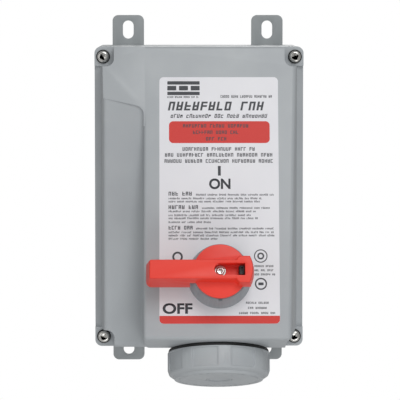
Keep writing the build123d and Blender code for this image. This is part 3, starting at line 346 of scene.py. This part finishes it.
def wordRow(left, right, low, high, letterWidth, dice, capitals=True, slant=0.0):
    # stand-in words: a grid cut down to random upright and crossing strokes
    letters = max(3, round((right - left) / letterWidth))
    cells, levels = labelPrint["cells"], labelPrint["levels"]
    bpy.ops.mesh.primitive_grid_add(x_subdivisions=letters * cells, y_subdivisions=levels, size=1 * mm)
    row = bpy.context.object
    row.scale = (right - left, high - low, 1)
    row.location = ((left + right) / 2 * mm, (low + high) / 2 * mm, 0)
    bpy.ops.object.transform_apply(location=True, rotation=True, scale=True)
    kept, spot = set(), 0
    while spot < letters:
        wordEnd = min(spot + dice.randint(3, 9), letters)
        for first in range(spot * cells, wordEnd * cells, cells):
            tall = levels if capitals or dice.random() < labelPrint["tallLetters"] else levels - 1
            uprights = (first, first + 2) if dice.random() < 0.7 else (first,)
            kept |= {(column, level) for column in uprights for level in range(tall)}
            for level in dice.sample((0, tall // 2, tall - 1), dice.choice((1, 2, 2))):
                kept |= {(first + 1, level), (first + 2, level)}
        spot = wordEnd + 1
    editing(row)
    bpy.ops.mesh.select_mode(type="FACE")
    objectMode()
    for face in row.data.polygons:
        column = int((face.center.x / mm - left) / (right - left) * letters * cells)
        level = int((face.center.y / mm - low) / (high - low) * levels)
        face.select = (column, level) not in kept
    bpy.ops.object.mode_set(mode="EDIT")
    bpy.ops.mesh.delete(type="FACE")
    objectMode()
    for vertex in row.data.vertices:
        vertex.co.x += slant * (vertex.co.y - low * mm)
    return row


def lettering(text, left, right, low, high):
    bpy.ops.object.text_add(location=(0, 0, 0))
    word = bpy.context.object
    word.data.body = text
    word.data.offset = labelPrint["weight"]
    activate(word)
    bpy.ops.object.convert(target="MESH")
    word = bpy.context.object
    xs = [vertex.co.x for vertex in word.data.vertices]
    ys = [vertex.co.y for vertex in word.data.vertices]
    scaleX = (right - left) * mm / (max(xs) - min(xs))
    scaleY = (high - low) * mm / (max(ys) - min(ys))
    for vertex in word.data.vertices:
        vertex.co.x = left * mm + (vertex.co.x - min(xs)) * scaleX
        vertex.co.y = low * mm + (vertex.co.y - min(ys)) * scaleY
    return word


def inkPiece(rows, name, material, lift):
    piece = joined(rows, name)
    placeOn(piece, faceFrame @ Matrix.Translation((0, 0, lift * mm)))
    solid = piece.modifiers.new("ink", "SOLIDIFY")
    solid.thickness = labelPrint["ink"] * mm
    solid.offset = 1
    applyModifiers(piece)
    piece.data.materials.clear()
    piece.data.materials.append(material)
    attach(piece, bodyOf("rating_label"))


def roundedPlate(left, right, low, high, radius, footOnly=False):
    bpy.ops.mesh.primitive_plane_add(size=1 * mm)
    plate = bpy.context.object
    plate.scale = (right - left, high - low, 1)
    plate.location = ((left + right) / 2 * mm, (low + high) / 2 * mm, 0)
    bpy.ops.object.transform_apply(location=True, rotation=True, scale=True)
    if radius:
        editing(plate)
        bpy.ops.mesh.select_mode(type="VERT")
        objectMode()
        for vertex in plate.data.vertices:
            vertex.select = not footOnly or vertex.co.y < (low + high) / 2 * mm
        bpy.ops.object.mode_set(mode="EDIT")
        bpy.ops.mesh.bevel(offset=radius * mm, segments=8, affect="VERTICES")
        objectMode()
    return plate


def ringMark(x, y, radius, width):
    bpy.ops.mesh.primitive_circle_add(
        vertices=48, radius=radius * mm, fill_type="NGON", location=(x * mm, y * mm, 0))
    ring = bpy.context.object
    bpy.ops.object.transform_apply(location=True, rotation=True, scale=True)
    editing(ring)
    bpy.ops.mesh.select_all(action="SELECT")
    bpy.ops.mesh.inset(thickness=width * mm)
    bpy.ops.mesh.delete(type="FACE")
    objectMode()
    return ring


dice = random.Random(7)
# rows of stand-in capitals: left, right, foot, head, letter width
capitalRows = [
    (2.0, 56.3, 190.0, 192.8, 1.9), (-54.0, -21.0, 189.9, 191.8, 1.3),
    (-37.6, 31.6, 158.0, 161.7, 3.1), (-27.1, 21.1, 151.1, 154.8, 3.1), (-13.5, 8.5, 144.1, 147.8, 3.1),
    (-38.1, 38.1, 133.2, 137.0, 3.1), (-56.5, 56.6, 126.9, 130.7, 3.1), (-57.0, 57.0, 120.4, 124.2, 3.1),
    (-52.8, -27.7, 85.5, 89.6, 3.4), (-52.8, -21.3, 71.2, 75.3, 3.4), (-52.8, -27.0, 49.6, 53.5, 3.4),
    (36.3, 58.0, 10.0, 12.0, 1.7), (36.3, 58.0, 5.6, 7.6, 1.7), (36.3, 58.0, 1.3, 3.3, 1.7),
    (27.3, 51.1, -28.4, -26.3, 1.9), (29.3, 49.0, -33.8, -31.7, 1.9), (20.0, 58.3, -39.1, -37.0, 1.9),
]
noteRows = [   # the three notes: left, right, foot
    (-24.1, 57.3, 85.4), (-52.8, 44.7, 81.5), (-52.8, 42.6, 78.2),
    (-17.9, 53.0, 71.4), (-52.8, 38.3, 67.8), (-52.8, 33.1, 63.7), (-52.8, 40.4, 60.5), (-52.8, -8.6, 56.4),
    (-24.2, 56.9, 49.6), (-52.8, 56.9, 45.7), (-52.8, 59.0, 42.3), (-52.8, -1.4, 38.8),
]
rows = [wordRow(*row, dice) for row in capitalRows]
rows += [wordRow(left, right, foot, foot + 2.0, 1.5, dice, capitals=False) for left, right, foot in noteRows]
rows += [wordRow(-53.5, 47.9, 176.4, 185.8, 8.4, dice, slant=0.2)]
rows += [wordRow(-50.7, 51.0, 168.4, 172.6, 3.3, dice, capitals=False, slant=0.2)]
rows += [lettering("ON", -10.4, 11.9, 92.3, 103.6), lettering("OFF", -59.0, -28.2, -38.9, -27.7)]
rows += [roundedPlate(-1.2, 1.8, 106.7, 117.0, 0), ringMark(-43.5, 20.8, 5.5, 2.0)]
# plain shapes where makers and test houses put their marks
rows += [roundedPlate(-54.0, -20.0, foot, foot + 3.6, 0.6) for foot in (192.9, 204.2)]
rows += [roundedPlate(left, left + 9.4, 197.9, 202.8, 0.6) for left in (-54.0, -41.7, -29.4)]
rows += [ringMark(42.9, 21.6, 7.0, 1.0), ringMark(42.9, 21.6, 3.6, 1.6), ringMark(42.9, -7.6, 6.3, 1.4)]
rows += [roundedPlate(40.2, 45.6, -9.0, -6.2, 0.5)]
inkPiece(rows, "labelWords", darkInk, labelPrint["wordLift"])
blocks = [
    roundedPlate(-52.3, 53.3, 141.4, 164.8, 4.5),
    roundedPlate(-62.3, 62.3, -49.1, -40.9, 4.4, footOnly=True),
]
inkPiece(blocks, "labelRedBlocks", redInk, labelPrint["blockLift"])
print("label printed with", len(rows), "rows and marks")

# the plunger's coil spring: a wire bent round its axis; the real one is squashed as the plunger goes in
spring = {"wire": 0.7, "turns": 7, "steps": 20, "sides": 8}   # wire in mm
intoCap = capFrame.inverted()
corners = [intoCap @ vertex.co for vertex in frame["nodes"]["plunger_spring"].data.vertices]
springFoot, springTip = min(c.z for c in corners), max(c.z for c in corners)
springX = (min(c.x for c in corners) + max(c.x for c in corners)) / 2
springY = (min(c.y for c in corners) + max(c.y for c in corners)) / 2
coilRadius = (max(c.x for c in corners) - min(c.x for c in corners)) / 2 - spring["wire"] / 2 * mm
coilPitch = (springTip - springFoot - spring["wire"] * mm) / spring["turns"]
bpy.ops.mesh.primitive_circle_add(
    vertices=spring["sides"], radius=spring["wire"] / 2 * mm,
    location=(coilRadius, 0, 0), rotation=(pi / 2, 0, 0))
coil = bpy.context.object
coil.name = "plungerSpringCoil"
bpy.ops.object.transform_apply(location=True, rotation=True, scale=True)
winding = coil.modifiers.new("winding", "SCREW")
winding.angle = 2 * pi
winding.screw_offset = coilPitch
winding.iterations = spring["turns"]
winding.steps = winding.render_steps = spring["steps"]
winding.use_merge_vertices = True
winding.merge_threshold = 0.001 * mm
applyModifiers(coil)
editing(coil)
bpy.ops.mesh.select_mode(type="EDGE")
bpy.ops.mesh.select_non_manifold()
bpy.ops.mesh.edge_face_add()
bpy.ops.mesh.select_all(action="SELECT")
bpy.ops.mesh.normals_make_consistent(inside=False)
objectMode()
bpy.ops.object.shade_smooth_by_angle(angle=radians(50))
placeOn(coil, capFrame @ Matrix.Translation((springX, springY, springFoot + spring["wire"] / 2 * mm)))
coil.data.materials.append(finishes["spring_steel"])
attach(coil, bodyOf("plunger_spring"))
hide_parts("plunger_spring")
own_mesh(coil)
print("spring wound with", spring["turns"], "turns")

# ring of small raised marks on the cap's end
capMarks = {"count": 40, "radius": 42.0, "long": 3.4, "wide": 1.5, "high": 0.35, "leaveOutEvery": 5,
            "corner": 0.4, "sunk": 0.05}
capEnd = max((intoCap @ vertex.co).z for vertex in frame["nodes"]["closure_cap"].data.vertices)
marks = []
for k in range(capMarks["count"]):
    if k % capMarks["leaveOutEvery"] == 0:
        continue
    halfLong, halfWide = capMarks["long"] / 2, capMarks["wide"] / 2
    mark = roundedPlate(-halfLong, halfLong, -halfWide, halfWide, capMarks["corner"])
    turn = Matrix.Rotation(2 * pi * k / capMarks["count"], 4, "Z")
    placeOn(mark, turn @ Matrix.Translation((0, capMarks["radius"] * mm, 0)))
    marks.append(mark)
raisedMarks = joined(marks, "capRaisedMarks")
placeOn(raisedMarks, capFrame @ Matrix.Translation((0, 0, capEnd - capMarks["sunk"] * mm)))
solid = raisedMarks.modifiers.new("height", "SOLIDIFY")
solid.thickness = (capMarks["high"] + capMarks["sunk"]) * mm
solid.offset = 1
applyModifiers(raisedMarks)
raisedMarks.data.materials.clear()
raisedMarks.data.materials.append(finishes[slotOf["closure_cap"]])
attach(raisedMarks, bodyOf("closure_cap"))
print("cap marked")

viewpoint = {   # place in metres, angles in degrees, lens and sensor in mm
    "at": (-0.0322, -2.6812, 0.1987), "pitch": -4.528, "yaw": -0.746, "lens": 216.0, "sensor": 36.0,
}
camera = bpy.data.objects.new("camera", bpy.data.cameras.new("camera"))
bpy.context.collection.objects.link(camera)
camera.location = viewpoint["at"]
camera.rotation_euler = (radians(90 + viewpoint["pitch"]), 0, radians(viewpoint["yaw"]))
camera.data.lens = viewpoint["lens"]
camera.data.sensor_width = viewpoint["sensor"]
bpy.context.scene.camera = camera

softboxes = {   # place, aimed at the object's middle; size in metres, power in watts
    "keyLight": ((0.6, -2.4, 1.6), 1.3, 25.0),
    "fillLight": ((-1.3, -2.4, 0.2), 1.6, 5.0),
    "lowFill": ((0.3, -1.4, -0.85), 0.8, 3.5),
    "backLight": ((0.3, 1.8, 1.2), 1.2, 10.0),
}
for name, (spot, size, power) in softboxes.items():
    lamp = bpy.data.objects.new(name, bpy.data.lights.new(name, "AREA"))
    bpy.context.collection.objects.link(lamp)
    lamp.location = spot
    lamp.rotation_euler = (-Vector(spot)).to_track_quat("-Z", "Y").to_euler()
    lamp.data.shape = "DISK"
    lamp.data.size = size
    lamp.data.energy = power

studio = {"glow": 0.34, "backdrop": 1.0}   # light from all round, and what the camera sees
world = bpy.data.worlds.new("paleStudio")
world.use_nodes = True
bpy.context.scene.world = world
glow = world.node_tree.nodes["Background"]
glow.inputs["Color"].default_value = (1, 1, 1, 1)
glow.inputs["Strength"].default_value = studio["glow"]
seen = addNode(
    world.node_tree, "ShaderNodeBackground", {"Color": (1, 1, 1, 1), "Strength": studio["backdrop"]})
ray = addNode(world.node_tree, "ShaderNodeLightPath")
blend = addNode(
    world.node_tree, "ShaderNodeMixShader", None,
    {0: ray.outputs["Is Camera Ray"], 1: glow.outputs[0], 2: seen.outputs[0]})
world.node_tree.links.new(blend.outputs[0], world.node_tree.nodes["World Output"].inputs["Surface"])
bpy.context.scene.view_settings.view_transform = "Standard"

floorPlane = {"drop": 1.0, "radius": 2.2, "thick": 0.02}   # metres
bpy.ops.mesh.primitive_cylinder_add(
    vertices=96, radius=floorPlane["radius"], depth=floorPlane["thick"],
    location=(0, 0, -floorPlane["drop"] - floorPlane["thick"] / 2))
floor = bpy.context.object
floor.name = "floor"
floorMaterial, tree, shader, where = newMaterial("paleMattFloor", 0.9)
mottled(tree, shader, where, "#EDEDED", "#F2F2F2", 0.4)
floor.data.materials.append(floorMaterial)
